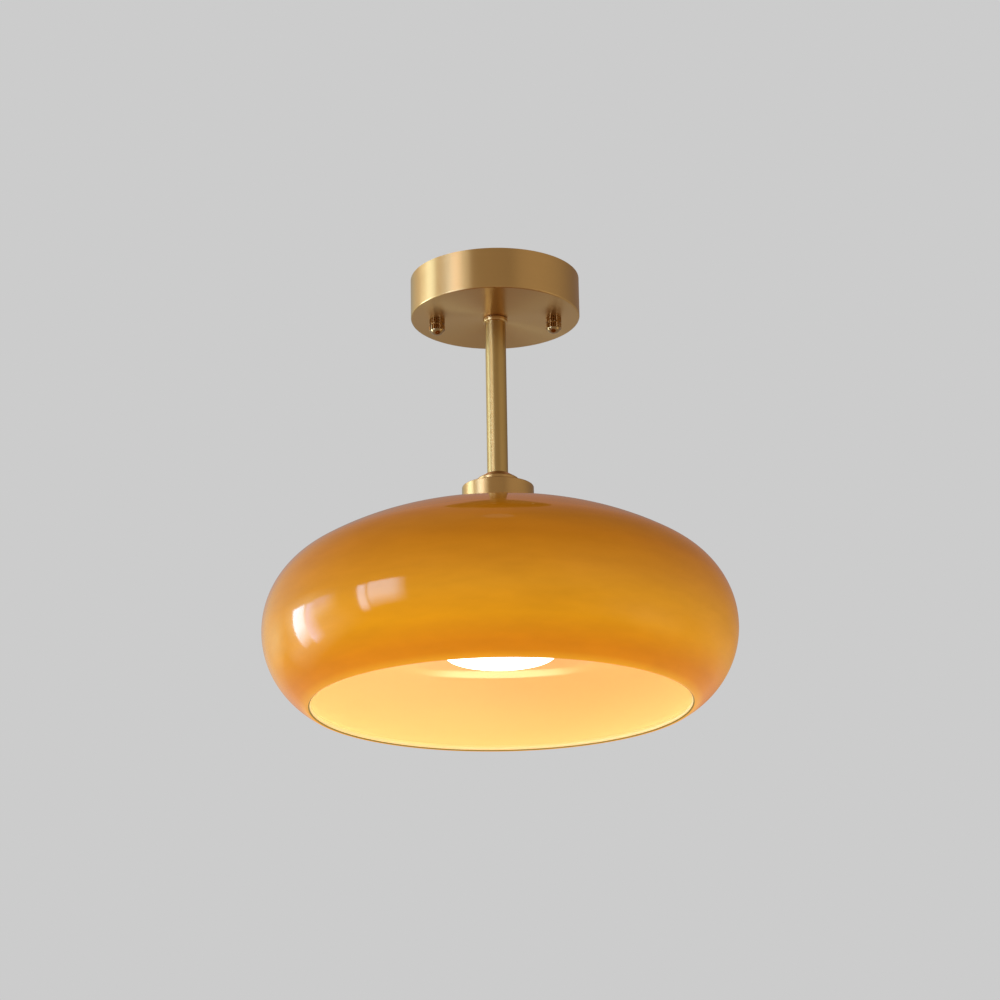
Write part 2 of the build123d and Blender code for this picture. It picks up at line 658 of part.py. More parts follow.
wire_end_level = dome_bottom + TERMINAL_WIRE_HEIGHT
for side, terminal_name in ((-1, "live_terminal"), (1, "neutral_terminal")):
    with BuildPart() as terminal:
        with BuildSketch(Plane.XY.offset(dome_bottom)):
            with Locations((side * TERMINAL_X, 0)):
                Rectangle(TERMINAL_LENGTH, TERMINAL_WIDTH)
        extrude(amount=TERMINAL_HEIGHT)
        with BuildSketch(Plane.YZ.offset(side * (TERMINAL_X - TERMINAL_LENGTH / 2))):
            with Locations((0, wire_end_level)):
                Circle(WIRE_RADIUS + RUNNING_CLEARANCE)
        extrude(amount=side * TERMINAL_LENGTH, mode=Mode.SUBTRACT)
        with BuildSketch(Plane.XY.offset(wire_end_level)):
            with Locations((side * TERMINAL_X, 0)):
                Circle(HOLDER_SCREW_RADIUS + RUNNING_CLEARANCE)
        extrude(amount=TERMINAL_HEIGHT, mode=Mode.SUBTRACT)
        if side < 0:
            with BuildSketch(Plane.XY.offset(dome_bottom)):
                with Locations((-(TERMINAL_X - CONTACT_PIN_RADIUS) / 2, 0)):
                    Rectangle(TERMINAL_X + CONTACT_PIN_RADIUS, 2 * CONTACT_PIN_RADIUS)
            extrude(amount=TERMINAL_STRAP_THICKNESS)
        else:
            with BuildSketch(Plane.XY.offset(ceramic_bottom)):
                with Locations(neutral_pin_place):
                    Circle(TERMINAL_PIN_RADIUS)
            extrude(amount=CERAMIC_HEIGHT)
    save(terminal, terminal_name)

with BuildPart() as holder_screws:
    screw_base = dome_bottom + TERMINAL_HEIGHT + HOLDER_SCREW_PROUD - HOLDER_SCREW_LENGTH
    with BuildSketch(Plane.XY.offset(screw_base)):
        with Locations((-TERMINAL_X, 0), (TERMINAL_X, 0)):
            Circle(HOLDER_SCREW_RADIUS)
    extrude(amount=HOLDER_SCREW_LENGTH)
save(holder_screws, "holder_screws")

# Socket shell: a plain sleeve that clears the crest of the bulb's thread
socket_top = ceramic_bottom - SOCKET_FLANGE
socket_bottom = ceramic_bottom - SOCKET_LENGTH
with BuildPart() as socket_shell:
    with BuildSketch(Plane.XY.offset(socket_bottom)):
        Circle(SOCKET_RADIUS)
        Circle(socket_bore_radius, mode=Mode.SUBTRACT)
    extrude(amount=SOCKET_LENGTH)
    with BuildSketch(Plane.XY.offset(socket_top)):
        Circle(SOCKET_RADIUS)
        Circle(SOCKET_FLANGE_HOLE, mode=Mode.SUBTRACT)
    extrude(amount=SOCKET_FLANGE)
save(socket_shell, "socket_shell")

# Wires
block_wire_end = BLOCK_FRONT_Y + WIRE_INTO_BLOCK
fan_run = math.hypot(pole_offsets[-1] - WIRE_OFFSET, WIRE_FAN_Y)
fan_turn = math.atan2(pole_offsets[-1] - WIRE_OFFSET, WIRE_FAN_Y)
fan_radius = WIRE_BEND_SHARE * fan_run / math.tan(fan_turn / 2)
entry_radius = wire_level - nipple_top
terminal_wire_end = TERMINAL_X + TERMINAL_LENGTH / 2
for side, wire_name in ((-1, "live_wire"), (1, "neutral_wire")):
    lead = wire(
        [
            (side * pole_offsets[-1], block_wire_end, wire_level),
            (side * pole_offsets[-1], WIRE_FAN_Y, wire_level),
            (side * WIRE_OFFSET, 0, wire_level),
            (side * WIRE_OFFSET, 0, wire_end_level),
            (side * terminal_wire_end, 0, wire_end_level),
        ],
        [fan_radius, entry_radius, WIRE_BEND],
    )
    save(lead, wire_name)

earth_lead = wire(
    [
        (0, block_wire_end, wire_level),
        (0, TAG_BARREL_Y, wire_level),
        (0, TAG_BARREL_Y, tag_top + RUNNING_CLEARANCE),
    ],
    [WIRE_BEND],
)
save(earth_lead, "earth_wire")

# Bulb
bulb_contact = disc(BULB_CONTACT_RADIUS, bulb_contact_bottom, BULB_CONTACT_HEIGHT)
save(bulb_contact, "bulb_contact")

with BuildPart() as bulb_insulator:
    with BuildSketch(Plane.XZ):
        with BuildLine():
            Polyline(
                (0, insulator_top),
                (BULB_INSULATOR_TOP_RADIUS, insulator_top),
                (bulb_cap_bore, bulb_cap_top),
                (bulb_cap_bore - THREAD_CLEARANCE, bulb_cap_top - BULB_INSULATOR_DROP),
                (0, bulb_cap_top - BULB_INSULATOR_DROP),
                close=True,
            )
        make_face()
    revolve(axis=Axis.Z)
save(bulb_insulator, "bulb_insulator")

with BuildPart() as bulb_cap:
    with BuildSketch(Plane.XY.offset(bulb_cap_bottom)):
        Circle(BULB_CORE_RADIUS)
        Circle(bulb_cap_bore, mode=Mode.SUBTRACT)
    extrude(amount=BULB_CAP_LENGTH)
    with BuildLine() as ridge_line:
        Helix(
            BULB_PITCH,
            BULB_RIDGE_TURNS * BULB_PITCH,
            BULB_CORE_RADIUS,
            center=(0, 0, bulb_cap_bottom + BULB_RIDGE_START),
        )
    with BuildSketch(Plane(ridge_line.line @ 0, z_dir=ridge_line.line % 0)):
        Circle(BULB_RIDGE_RADIUS)
    sweep(is_frenet=True)
save(bulb_cap, "bulb_cap")

spigot_radius = bulb_cap_bore - THREAD_CLEARANCE
spigot_top = bulb_cap_bottom + BULB_SPIGOT_LENGTH
spigot_bore = spigot_radius - BULB_WALL
neck_bore = BULB_NECK_RADIUS - BULB_WALL
with BuildPart() as bulb_body:
    with BuildSketch(Plane.XZ):
        with BuildLine():
            Polyline(
                (spigot_bore, spigot_top),
                (spigot_radius, spigot_top),
                (spigot_radius, bulb_cap_bottom),
                (BULB_NECK_RADIUS, bulb_cap_bottom),
                (BULB_NECK_RADIUS, bulb_cone_top),
                (bulb_rim_radius, bulb_cone_bottom),
                (bulb_rim_radius, bulb_rim_bottom),
                (bulb_sleeve_radius, bulb_rim_bottom),
                (bulb_sleeve_radius, bulb_body_bottom),
                (bulb_bore_radius, bulb_body_bottom),
                (bulb_bore_radius, shelf_bottom),
                (bulb_bore_radius - BULB_SHELF_WIDTH, shelf_bottom),
                (bulb_bore_radius - BULB_SHELF_WIDTH, shelf_bottom + BULB_SHELF_HEIGHT),
                (bulb_bore_radius, shelf_bottom + BULB_SHELF_HEIGHT),
                (bulb_bore_radius, bulb_cone_bottom),
                (neck_bore, bulb_cone_top),
                (neck_bore, bulb_cap_bottom - BULB_WALL),
                (spigot_bore, bulb_cap_bottom - BULB_WALL),
                close=True,
            )
        make_face()
    revolve(axis=Axis.Z)
save(bulb_body, "bulb_body")

with BuildPart() as bulb_diffuser:
    with BuildSketch(Plane.XY.offset(diffuser_bottom)):
        Circle(DIFFUSER_RADIUS)
    extrude(amount=DIFFUSER_HEIGHT)
    fillet(bulb_diffuser.faces().sort_by(Axis.Z)[0].edges(), DIFFUSER_EDGE_RADIUS)
    offset(amount=-DIFFUSER_WALL, openings=bulb_diffuser.faces().sort_by(Axis.Z)[-1])
save(bulb_diffuser, "bulb_diffuser")

led_board = disc(bulb_bore_radius - LOOSE_CLEARANCE, led_board_bottom, LED_BOARD_THICKNESS)
save(led_board, "led_board")

with BuildPart() as led_chips:
    with BuildSketch(Plane.XY.offset(led_board_bottom)):
        with PolarLocations(led_circle_radius, LED_COUNT):
            Rectangle(LED_SIZE, LED_SIZE)
    extrude(amount=-LED_HEIGHT)
save(led_chips, "led_chips")

with BuildPart() as driver_board:
    with BuildSketch(Plane.XY.offset(shelf_bottom)):
        Rectangle(DRIVER_WIDTH, DRIVER_THICKNESS)
    extrude(amount=DRIVER_HEIGHT)
save(driver_board, "driver_board")

driver_face = DRIVER_THICKNESS / 2
with BuildPart() as driver_parts:
    with BuildSketch(Plane.XY.offset(shelf_bottom)):
        with Locations((-DRIVER_WIDTH / 4, driver_face + COIL_SIZE / 2)):
            Rectangle(COIL_SIZE, COIL_SIZE)
    extrude(amount=COIL_HEIGHT)
    with BuildSketch(Plane.XY.offset(shelf_bottom)):
        with Locations((DRIVER_WIDTH / 4, driver_face + CAPACITOR_RADIUS)):
            Circle(CAPACITOR_RADIUS)
    extrude(amount=CAPACITOR_HEIGHT)
save(driver_parts, "driver_parts")
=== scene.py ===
"""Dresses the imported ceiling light: glass shade, satin brass, lamp and wiring, in a plain studio."""

import math

import bmesh
import bpy
from mathutils import Matrix, Vector


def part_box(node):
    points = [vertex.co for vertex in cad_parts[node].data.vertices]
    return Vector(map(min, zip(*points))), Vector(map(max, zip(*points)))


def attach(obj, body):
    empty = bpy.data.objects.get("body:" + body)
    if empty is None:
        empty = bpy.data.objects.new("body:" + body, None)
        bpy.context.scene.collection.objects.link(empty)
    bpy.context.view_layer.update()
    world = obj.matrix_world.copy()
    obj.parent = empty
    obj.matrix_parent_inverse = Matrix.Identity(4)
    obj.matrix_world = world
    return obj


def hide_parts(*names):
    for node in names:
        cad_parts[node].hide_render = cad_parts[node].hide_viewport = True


bl_info = {
    "name": "Stem ceiling light",
    "version": (1, 0, 0),
    "blender": (4, 5, 0),
    "location": "View3D > Sidebar > Ceiling light",
    "description": "Dresses the packed ceiling light and sets up its studio",
    "category": "Object",
}

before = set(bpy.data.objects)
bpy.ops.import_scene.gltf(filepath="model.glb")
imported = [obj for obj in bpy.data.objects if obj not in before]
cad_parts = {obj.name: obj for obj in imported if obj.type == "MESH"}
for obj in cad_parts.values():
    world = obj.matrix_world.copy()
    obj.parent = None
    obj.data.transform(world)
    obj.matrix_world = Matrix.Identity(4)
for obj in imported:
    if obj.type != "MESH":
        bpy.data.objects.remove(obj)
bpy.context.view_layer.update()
glass_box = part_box("glass_shade")
glass_foot = glass_box[0].z
glass_top = glass_box[1].z
glass_radius = glass_box[1].x

# Steps round the glass, and along its crown, shoulder, skirt and lip.
GLASS_TURNS = 240
CROWN_STEPS, SHOULDER_STEPS, SKIRT_STEPS, LIP_STEPS = 40, 30, 32, 14

# The lip's bands of painted shade, counted from the end of the outer wall, and the slots after the
# amber's.
SHADED_EDGE_BANDS = range(3, 5)
LINING_SLOT, SHADED_EDGE_SLOT, LIP_SLOT = 1, 2, 3

# How closely the glass's streaks and blotches follow each other along X, Y and Z, per metre.
STREAKS = (8.0, 8.0, 50.0)
BLOTCHES = (30.0, 30.0, 100.0)

# Painted glow that stands for the lamp's light through the amber and on the lining, from the crown at
# 0 down to the lip at 1.
AMBER_GLOW = [
    (0.2, (0.04, 0.01, 0.0)),
    (0.42, (0.14, 0.025, 0.001)),
    (0.57, (0.22, 0.06, 0.002)),
    (0.7, (0.325, 0.115, 0.003)),
    (0.83, (0.42, 0.16, 0.0)),
    (0.94, (0.412, 0.108, 0.0)),
    (0.975, (0.455, 0.126, 0.0)),
    (1.0, (0.6, 0.25, 0.01)),
]
LINING_GLOW = [
    (0.0, (0.2, 0.06, 0.02)),
    (0.6, (0.28, 0.12, 0.05)),
    (1.0, (0.36, 0.24, 0.09)),
]

BRASS_NODES = (
    "canopy", "stem_collar", "stem", "stem_neck", "holder_cap", "cap_nut_left", "cap_nut_right",
)

# The studio turns about the shade's middle. Lights and windows stand this far from it, in metres.
STUDIO_LEVEL = -0.25
LIGHT_DISTANCE = 2.0
WALL_DISTANCE = 6.0
FLOOR_RADIUS, FLOOR_SIDES = 16.0, 128

# The walls' tones round the room: 0 and 1 behind the light, 0.25 to its left, 0.5 at the camera.
WALL_TONES = [
    (0.0, (0.06, 0.04, 0.03)),
    (0.055, (0.28, 0.42, 0.45)),
    (0.09, (0.6, 0.75, 0.62)),
    (0.18, (1.15, 1.1, 1.0)),
    (0.3, (0.7, 0.65, 0.57)),
    (0.38, (0.46, 0.42, 0.36)),
    (0.5, (0.47, 0.42, 0.35)),
    (0.56, (0.41, 0.37, 0.31)),
    (0.6, (0.66, 0.61, 0.53)),
    (0.64, (0.7, 0.64, 0.56)),
    (0.75, (0.52, 0.47, 0.4)),
    (0.87, (0.17, 0.12, 0.07)),
    (1.0, (0.06, 0.04, 0.03)),
]
OVERHEAD_TONES = [
    (0.0, (0.8, 0.26, 0.12)),
    (0.12, (0.6, 0.25, 0.12)),
    (0.27, (0.26, 0.2, 0.13)),
    (0.5, (0.07, 0.01, 0.0)),
    (0.88, (0.04, 0.0, 0.0)),
    (1.0, (0.8, 0.26, 0.12)),
]
FOOT_TONE = (0.45, 0.42, 0.38)
WALL_COVER = 0.75

WINDOW_TINT = (0.33, 0.52, 1.0)
DAYLIGHT = (1.0, 0.97, 0.93)
FILL_TINT = (1.0, 0.985, 0.96)
FADE_ALL_OVER = (0.5, 0.5, 0.5, 0.5)

SENSOR_WIDTH = 36.0
CLIP_START, CLIP_END = 0.05, 60.0


def colour_property(name, description, value):
    """A linear colour that a user may change."""
    return bpy.props.FloatVectorProperty(
        name=name, description=description, default=value, subtype="COLOR", min=0.0, max=1.0
    )


def length_property(name, description, value):
    """A length in metres that a user may change."""
    return bpy.props.FloatProperty(
        name=name, description=description, default=value, unit="LENGTH", precision=4
    )


def number_property(name, description, value, **limits):
    """A share, strength or angle that a user may change."""
    return bpy.props.FloatProperty(name=name, description=description, default=value, **limits)


class ShadeSettings(bpy.types.PropertyGroup):
    """Profile and colours of the glass shade."""

    crown_height: length_property("Crown height", "From the widest ring up to the flat land", 0.075)
    shoulder_radius: length_property(
        "Shoulder radius", "Outer radius of the arc above the widest ring", 0.0544
    )
    lip_inset: length_property(
        "Lip inset", "How far the lip stands in from the widest ring", 0.0278
    )
    lip_drop: length_property("Lip drop", "How far the lip hangs below the widest ring", 0.0483)
    land_radius: length_property("Land radius", "Flat land under the holder cap", 0.024)
    hole_radius: length_property("Hole radius", "Hole for the lampholder", 0.0195)
    wall: length_property("Wall", "Thickness of the glass", 0.004)
    # The amber's tones by height, darkest at the crown: partly the glass's own colour, partly painted
    # shade where less of the lamp's light comes through.
    crown_colour: colour_property("Crown", "Amber round the holder cap", (0.31, 0.098, 0.003))
    belly_colour: colour_property("Belly", "Amber below the widest ring", (0.5, 0.23, 0.01))
    skirt_colour: colour_property("Skirt", "Amber just above the lip", (0.5, 0.19, 0.004))
    lining_colour: colour_property("Lining", "Opal lining of the glass", (0.9, 0.72, 0.36))


class BrassSettings(bpy.types.PropertyGroup):
    """Colours and finish of the brass."""

    body_colour: colour_property("Brass", "Canopy and holder cap", (0.62, 0.36, 0.125))
    stem_colour: colour_property("Stem brass", "Drawn tube of the stem", (0.525, 0.33, 0.11))
    nut_colour: colour_property("Nut brass", "Darker brass of the two nuts", (0.4, 0.23, 0.09))
    roughness: number_property(
        "Roughness", "Middle roughness of the satin finish", 0.33, min=0.0, max=1.0
    )


class LampSettings(bpy.types.PropertyGroup):
    """Light of the lit lamp."""

    glow_colour: colour_property("Glow", "Colour of the lit face", (1.0, 0.92, 0.78))
    glow_strength: number_property(
        "Strength", "Strength of the lit face, where 1 is white", 5.0, min=0.0
    )


class StageSettings(bpy.types.PropertyGroup):
    """Backdrop, floor, fill light and camera."""

    backdrop_colour: colour_property("Backdrop", "Grey behind the light", (0.604, 0.604, 0.604))
    floor_colour: colour_property("Floor", "Pale floor", (0.74, 0.74, 0.73))
    floor_level: length_property("Floor level", "Height of the floor under the ceiling plane", -2.4)
    fill: number_property("Fill", "Soft light from all round", 0.55, min=0.0)
    camera_back: length_property("Camera back", "Camera's distance in front of the light", 1.7598)
    camera_level: length_property(
        "Camera level", "Camera's height under the ceiling plane", -0.72415
    )
    camera_tilt: number_property(
        "Camera tilt", "Upward tilt of the camera", math.radians(18.035), subtype="ANGLE"
    )
    camera_roll: number_property(
        "Camera roll", "Clockwise roll of the camera", math.radians(0.91), subtype="ANGLE"
    )
    camera_lens: number_property(
        "Lens", "Focal length on a 36 mm sensor", 104.25, unit="CAMERA"
    )
    camera_shift: number_property("Shift", "Sideways shift as a share of the picture", 0.00188)


class Flow:
    """An output socket whose sums and products add the nodes that work them out."""

    def __init__(self, finish, socket):
        self.finish = finish
        self.socket = socket

    def join(self, operation, first, second):
        return self.finish.node("ShaderNodeMath", {"operation": operation}, {0: first, 1: second})

    def __add__(self, other):
        return self.join("ADD", self, other)

    def __radd__(self, other):
        return self.join("ADD", other, self)

    def __sub__(self, other):
        return self.join("SUBTRACT", self, other)

    def __rsub__(self, other):
        return self.join("SUBTRACT", other, self)

    def __mul__(self, other):
        return self.join("MULTIPLY", self, other)

    def __rmul__(self, other):
        return self.join("MULTIPLY", other, self)

    def __truediv__(self, other):
        return self.join("DIVIDE", self, other)

    def __rtruediv__(self, other):
        return self.join("DIVIDE", other, self)

    def __pow__(self, other):
        return self.join("POWER", self, other)

    def __rpow__(self, other):
        return self.join("POWER", other, self)

    def __gt__(self, other):
        return self.join("GREATER_THAN", self, other)

    def __lt__(self, other):
        return self.join("LESS_THAN", self, other)


class Finish:
    """A material or world under construction, node by node."""

    def __init__(self, owner):
        owner.use_nodes = True
        self.owner = owner
        self.tree = owner.node_tree
        self.tree.nodes.clear()
        self.places = None

    def node(self, kind, settings=None, sockets=None, output=0):
        """Adds a node, sets it up, fills or links its sockets, and gives one of its outputs."""
        made = self.tree.nodes.new(kind)
        for name, value in (settings or {}).items():
            if name == "stops":
                stops = made.color_ramp.elements
                while len(stops) < len(value):
                    stops.new(0.5)
                for stop, (place, colour) in zip(stops, value):
                    stop.position = place
                    stop.color = (*colour, 1.0)
            else:
                setattr(made, name, value)
        for name, value in (sockets or {}).items():
            if isinstance(value, Flow):
                self.tree.links.new(value.socket, made.inputs[name])
            elif isinstance(value, tuple) and made.inputs[name].type == "RGBA":
                made.inputs[name].default_value = (*value, 1.0)
            else:
                made.inputs[name].default_value = value
        return Flow(self, made.outputs[output]) if made.outputs else None

    def here(self):
        """Position in the shared frame as a vector."""
        return self.node("ShaderNodeTexCoord", output="Object")

    def place(self, axis):
        """Position along X, Y or Z in the shared frame, in metres."""
        if self.places is None:
            self.places = self.node("ShaderNodeSeparateXYZ", {}, {0: self.here()}).socket.node
        return Flow(self, self.places.outputs[axis])

    def vector(self, x, y, z):
        """A vector from its three shares."""
        return self.node("ShaderNodeCombineXYZ", {}, {0: x, 1: y, 2: z})

    def spread(self, vector, factors):
        """A vector stretched along each axis."""
        multiply = {"operation": "MULTIPLY"}
        return self.node("ShaderNodeVectorMath", multiply, {0: vector, 1: factors})

    def grain(self, vector, scale, detail=3.0, roughness=0.5):
        """Soft noise from 0 to 1."""
        return self.node(
            "ShaderNodeTexNoise",
            {"noise_dimensions": "3D"},
            {"Vector": vector, "Scale": scale, "Detail": detail, "Roughness": roughness},
        )

    def graded(self, value, stops):
        """A colour read off a ramp of stops from 0 to 1."""
        return self.node("ShaderNodeValToRGB", {"stops": stops}, {0: value})

    def between(self, value, low, high):
        """0 at low, 1 at high, and straight between."""
        return self.node(
            "ShaderNodeMapRange",
            {"clamp": True},
            {"Value": value, "From Min": low, "From Max": high},
        )

    def blend(self, first, second, share):
        """One colour fading into another."""
        return self.node("ShaderNodeMix", {"data_type": "RGBA"}, {0: share, 6: first, 7: second}, 2)

    def stain(self, colour, tint):
        """A colour multiplied by a tint."""
        mixing = {"data_type": "RGBA", "blend_type": "MULTIPLY"}
        return self.node("ShaderNodeMix", mixing, {0: 1.0, 6: colour, 7: tint}, 2)

    def bump(self, height, distance, strength):
        """A normal from a height between 0 and 1 that stands for the given distance in metres."""
        return self.node(
            "ShaderNodeBump", {}, {"Height": height, "Distance": distance, "Strength": strength}
        )

    def surface(self, **sockets):
        """Ends a material in one principled surface."""
        named = {name.replace("_", " "): value for name, value in sockets.items()}
        shader = self.node("ShaderNodeBsdfPrincipled", {}, named)
        self.node("ShaderNodeOutputMaterial", {}, {"Surface": shader})
        return self.owner

    def veil(self, cover, glow):
        """Ends a material in a glow that covers a share of what is behind it."""
        clear = self.node("ShaderNodeBsdfTransparent")
        mixed = self.node("ShaderNodeMixShader", {}, {0: cover, 1: clear, 2: glow})
        self.node("ShaderNodeOutputMaterial", {}, {"Surface": mixed})
        return self.owner


def rgb(colour):
    """A colour setting as plain numbers."""
    return tuple(colour)


def scaled(colour, share):
    """A colour made darker or lighter."""
    return tuple(min(1.0, channel * share) for channel in colour)


def new_finish(name):
    """An empty material to build up."""
    return Finish(bpy.data.materials.new(name))


def dress(material, *names):
    """Gives CAD nodes a material."""
    for name in names:
        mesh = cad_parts[name].data
        mesh.materials.clear()
        mesh.materials.append(material)


def add_object(name, data):
    """Puts a mesh, light or camera in the scene."""
    made = bpy.data.objects.new(name, data)
    bpy.context.scene.collection.objects.link(made)
    return made


def satin_brass(name, colour, roughness, line_depth, drawn=False):
    """Satin brass with fine lines: circles about the lamp's axis, or lengthwise on drawn tube."""
    finish = new_finish(name)
    if drawn:
        lines = finish.spread(finish.here(), (1.0, 1.0, 0.01))
        anisotropy = 0.4
    else:
        x, y, z = finish.place("X"), finish.place("Y"), finish.place("Z")
        lines = finish.vector((x * x + y * y) ** 0.5, 0.0, z)
        anisotropy = 0.85
    fine = finish.grain(lines, scale=2600.0, detail=2.0, roughness=0.6)
    coarse = finish.grain(lines, scale=420.0, detail=3.0, roughness=0.6)
    cloud = finish.grain(finish.here(), scale=38.0, detail=4.0, roughness=0.55)
    patches = 0.55 * cloud + 0.45 * coarse
    return finish.surface(
        Base_Color=finish.blend(scaled(colour, 0.9), scaled(colour, 1.08), patches),
        Metallic=1.0,
        Roughness=roughness - 0.07 + 0.09 * coarse + 0.05 * cloud,
        Anisotropic=anisotropy,
        Anisotropic_Rotation=0.25,
        Normal=finish.bump(0.6 * fine + 0.4 * coarse, distance=line_depth, strength=0.35),
    )


def plain_metal(name, colour, roughness):
    """Plated metal with faint clouding."""
    finish = new_finish(name)
    cloud = finish.grain(finish.here(), scale=240.0, detail=4.0, roughness=0.6)
    skin = finish.grain(finish.here(), scale=2160.0, detail=2.0)
    return finish.surface(
        Base_Color=finish.blend(scaled(colour, 0.82), scaled(colour, 1.1), cloud),
        Metallic=1.0,
        Roughness=roughness - 0.08 + 0.16 * cloud,
        Normal=finish.bump(skin, distance=0.00004, strength=0.4),
    )


def moulded(name, colour, roughness, pores=2200.0, depth=0.00005, shade=0.9):
    """Moulded plastic, rubber or ceramic with a fine skin."""
    finish = new_finish(name)
    cloud = finish.grain(finish.here(), scale=60.0, detail=3.0, roughness=0.5)
    skin = finish.grain(finish.here(), scale=pores, detail=2.0, roughness=0.5)
    return finish.surface(
        Base_Color=finish.blend(scaled(colour, shade), colour, 0.5 * cloud + 0.5 * skin),
        Roughness=roughness - 0.05 + 0.1 * skin,
        Normal=finish.bump(skin, distance=depth, strength=0.5),
    )


def arc_points(centre, radius, first, last, count):
    """Points of an arc in a plane, angles in radians."""
    points = []
    for step in range(count + 1):
        angle = first + (last - first) * step / count
        points.append((centre[0] + radius * math.cos(angle), centre[1] + radius * math.sin(angle)))
    return points


def shade_walls(shade):
    """Outer and inner profile of the glass from the hole down to the lip, and the lip's round."""
    widest = glass_top - shade.crown_height
    shoulder = (glass_radius - shade.shoulder_radius, widest)
    reach = shoulder[0] - shade.land_radius
    crown_radius = (reach**2 + shade.crown_height**2 - shade.shoulder_radius**2) / (
        2 * (shade.crown_height - shade.shoulder_radius)
    )
    crown = (shade.land_radius, glass_top - crown_radius)
    tangent = math.atan2(widest - crown[1], reach)
    lower_radius = (shade.lip_inset**2 + shade.lip_drop**2) / (2 * shade.lip_inset)
    lower = (glass_radius - lower_radius, widest)
    lip_angle = math.atan2(shade.lip_drop, lower_radius - shade.lip_inset)
    walls = []
    for inward in (0.0, shade.wall):
        wall = [(shade.hole_radius, glass_top - inward)]
        wall += arc_points(crown, crown_radius - inward, math.pi / 2, tangent, CROWN_STEPS)
        shoulder_radius = shade.shoulder_radius - inward
        wall += arc_points(shoulder, shoulder_radius, tangent, 0.0, SHOULDER_STEPS)[1:]
        wall += arc_points(lower, lower_radius - inward, 0.0, -lip_angle, SKIRT_STEPS)[1:]
        walls.append(wall)
    middle = lower_radius - shade.wall / 2
    lip_centre = (
        lower[0] + middle * math.cos(lip_angle),
        lower[1] - middle * math.sin(lip_angle),
    )
    lip_end = -lip_angle - math.pi
    lip = arc_points(lip_centre, shade.wall / 2, -lip_angle, lip_end, LIP_STEPS)[1:-1]
    return walls[0], walls[1], lip


def spun_mesh(name, profile, turns, closed=True):
    """A smooth mesh spun about the vertical axis from radii and heights, and its count of bands."""
    work = bmesh.new()
    rings = []
    for radius, height in profile:
        ring = []
        for step in range(turns):
            angle = 2 * math.pi * step / turns
            place = (radius * math.cos(angle), radius * math.sin(angle), height)
            ring.append(work.verts.new(place))
        rings.append(ring)
    pairs = list(zip(rings, rings[1:]))
    if closed:
        pairs.append((rings[-1], rings[0]))
    for upper, under in pairs:
        for step in range(turns):
            after = (step + 1) % turns
            face = work.faces.new((upper[step], under[step], under[after], upper[after]))
            face.smooth = True
    bmesh.ops.recalc_face_normals(work, faces=work.faces)
    mesh = bpy.data.meshes.new(name)
    work.to_mesh(mesh)
    work.free()
    return mesh, len(pairs)


def amber_glass(shade):
    """Glossy amber glass, with the lamp's light through it painted in as a glow towards the lip."""
    finish = new_finish("amber_glass")
    level = finish.between(finish.place("Z"), glass_top, glass_foot)
    streak = finish.grain(
        finish.spread(finish.here(), STREAKS), scale=1.0, detail=3.0, roughness=0.6
    )
    mottle = finish.grain(
        finish.spread(finish.here(), BLOTCHES), scale=1.0, detail=3.0, roughness=0.6
    )
    cloud = finish.grain(finish.here(), scale=7.0, detail=3.0, roughness=0.5)
    patches = finish.between(0.5 * streak + 0.5 * mottle, 0.35, 0.65)
    tint = finish.graded(patches, [(0.0, (0.9, 0.89, 0.84)), (1.0, (1.012, 1.014, 1.01))])
    # Amber darker towards the crown: partly the glass's own colour, partly painted shade where less of
    # the lamp's light comes through.
    body = finish.graded(
        level + 0.06 * cloud - 0.03,
        [
            (0.0, rgb(shade.crown_colour)),
            (0.7, rgb(shade.belly_colour)),
            (0.95, rgb(shade.skirt_colour)),
        ],
    )
    return finish.surface(
        Base_Color=finish.stain(body, tint),
        Roughness=0.05 + 0.05 * cloud,
        IOR=1.38,
        Specular_Tint=(1.0, 0.85, 0.55),
        # Painted glow of the lamp's light through the amber, stronger towards the lip.
        Emission_Color=finish.stain(finish.graded(level, AMBER_GLOW), tint),
        Emission_Strength=1.0,
        Normal=finish.bump(0.7 * streak + 0.3 * cloud, distance=0.0006, strength=0.2),
    )


def opal_lining(name, shade, roughness):
    """Opal inside of the glass, lit by the lamp and warmed towards the lip by a painted glow."""
    finish = new_finish(name)
    level = finish.between(finish.place("Z"), glass_top, glass_foot)
    cloud = finish.grain(finish.here(), scale=9.0, detail=3.0, roughness=0.5)
    return finish.surface(
        Base_Color=finish.blend(rgb(shade.lining_colour), (0.86, 0.62, 0.28), 0.35 * cloud),
        Roughness=roughness + 0.03 * cloud,
        Anisotropic=1.0,
        IOR=1.9,
        Specular_Tint=(1.0, 1.0, 0.65),
        # Painted glow of the lamp's light on the lining, stronger towards the lip.
        Emission_Color=finish.graded(level, LINING_GLOW),
        Emission_Strength=1.0,
    )


def shaded_lip_edge():
    """Dull brown band on the lip's round, partly the glass's own edge and partly painted shade, with a
    little painted glow of the lamp's light in it.
    """
    finish = new_finish("shaded_lip_edge")
    cloud = finish.grain(finish.here(), scale=60.0, detail=3.0, roughness=0.5)
    skin = finish.grain(finish.here(), scale=2400.0, detail=2.0)
    return finish.surface(
        Base_Color=finish.blend((0.22, 0.15, 0.015), (0.28, 0.2, 0.03), cloud),
        Roughness=0.35 + 0.1 * cloud,
        Specular_IOR_Level=0.1,
        Emission_Color=(0.1, 0.07, 0.01),
        Emission_Strength=1.0,
        Normal=finish.bump(skin, distance=0.00004, strength=0.4),
    )


